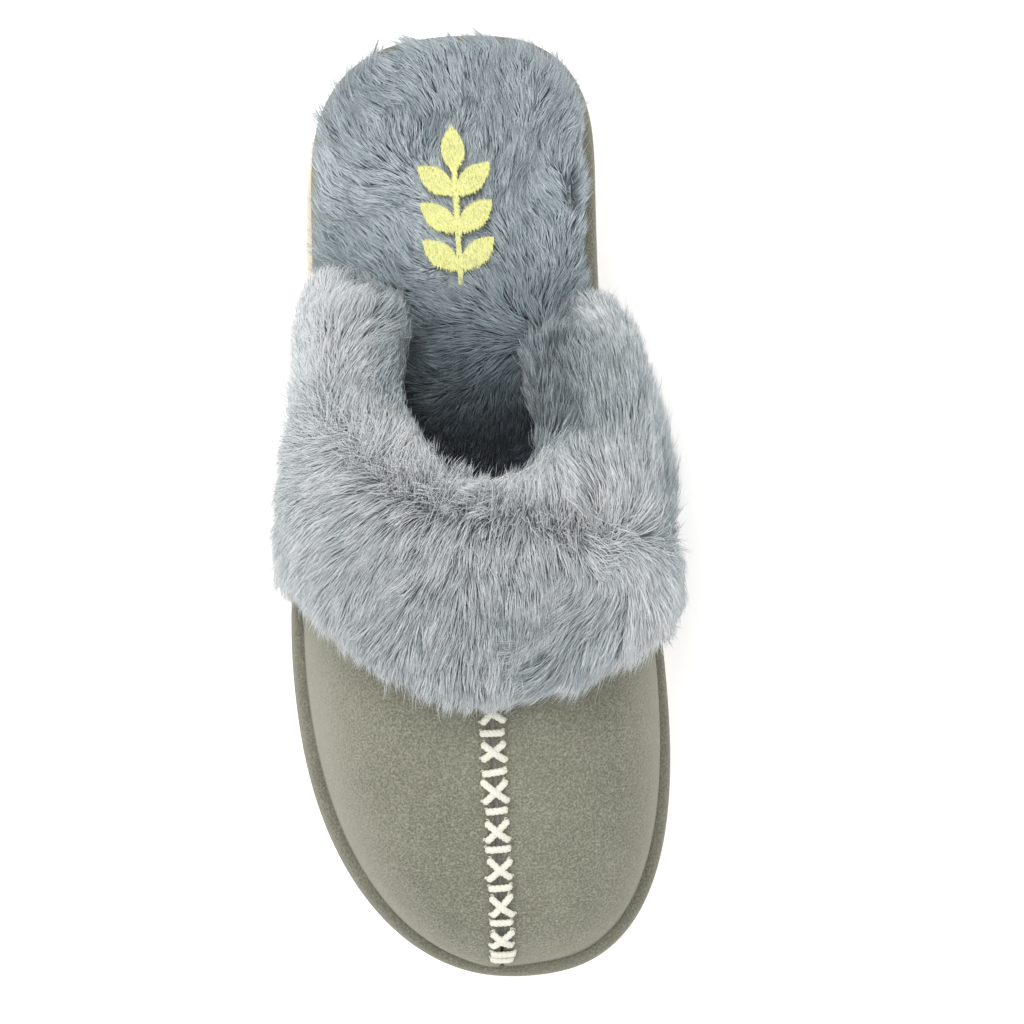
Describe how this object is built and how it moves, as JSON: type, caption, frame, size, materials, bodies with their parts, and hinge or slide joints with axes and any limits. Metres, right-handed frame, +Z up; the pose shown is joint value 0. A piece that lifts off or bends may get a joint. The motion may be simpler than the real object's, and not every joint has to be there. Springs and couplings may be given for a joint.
{
  "type": "fluffy house slipper",
  "caption": "Open-backed mule slipper for the right foot with a suede-look upper, a turned-down fur cuff, fur footbed and a wrapped platform sole.",
  "frame": {"origin": "on the outsole's underside, under the middle of the sole, where the ground is", "axes": "+Z up, +Y along the sole to the heel, +X to the big-toe side"},
  "size_m": [0.107, 0.2638, 0.0901],
  "materials": {
    "sole_rubber": "moulded cream rubber, matt, chevron tread",
    "foam": "light closed-cell foam, off-white, matt",
    "board": "pressed fibre board, matt",
    "wrap_suede": "taupe microsuede, short fuzzy nap",
    "vamp_suede": "grey-taupe microsuede, short brushed nap",
    "interlining": "foam-backed knit, matt",
    "footbed_fur": "blue-grey faux fur, short dense pile with lighter tips",
    "lining_fur": "dark blue-grey faux fur, short pile",
    "cuff_fur": "blue-grey faux fur, long pile with silvery tips",
    "tape": "woven tape",
    "stitch_yarn": "thick twisted cream yarn, matt",
    "print_film": "thin pale-yellow printed film lying on the pile"
  },
  "bodies": {
    "root": {"outsole": "sole_rubber", "midsole_foam": "foam", "insole_board": "board", "cushion_pad": "foam", "sole_wrap": "wrap_suede", "footbed_cover": "footbed_fur", "vamp_medial": "vamp_suede", "vamp_lateral": "vamp_suede", "vamp_interlining": "interlining", "vamp_lining": "lining_fur", "topline_tape": "tape", "fur_cuff": "cuff_fur", "footbed_print": "print_film", "cross_stitch_1": "stitch_yarn", "cross_stitch_2": "stitch_yarn", "cross_stitch_3": "stitch_yarn", "cross_stitch_4": "stitch_yarn", "cross_stitch_5": "stitch_yarn", "cross_stitch_6": "stitch_yarn", "cross_stitch_7": "stitch_yarn", "bar_stitch_1": "stitch_yarn", "bar_stitch_2": "stitch_yarn", "bar_stitch_3": "stitch_yarn", "bar_stitch_4": "stitch_yarn", "bar_stitch_5": "stitch_yarn", "bar_stitch_6": "stitch_yarn", "bar_stitch_7": "stitch_yarn", "bar_stitch_8": "stitch_yarn"}
  },
  "joints": []
}
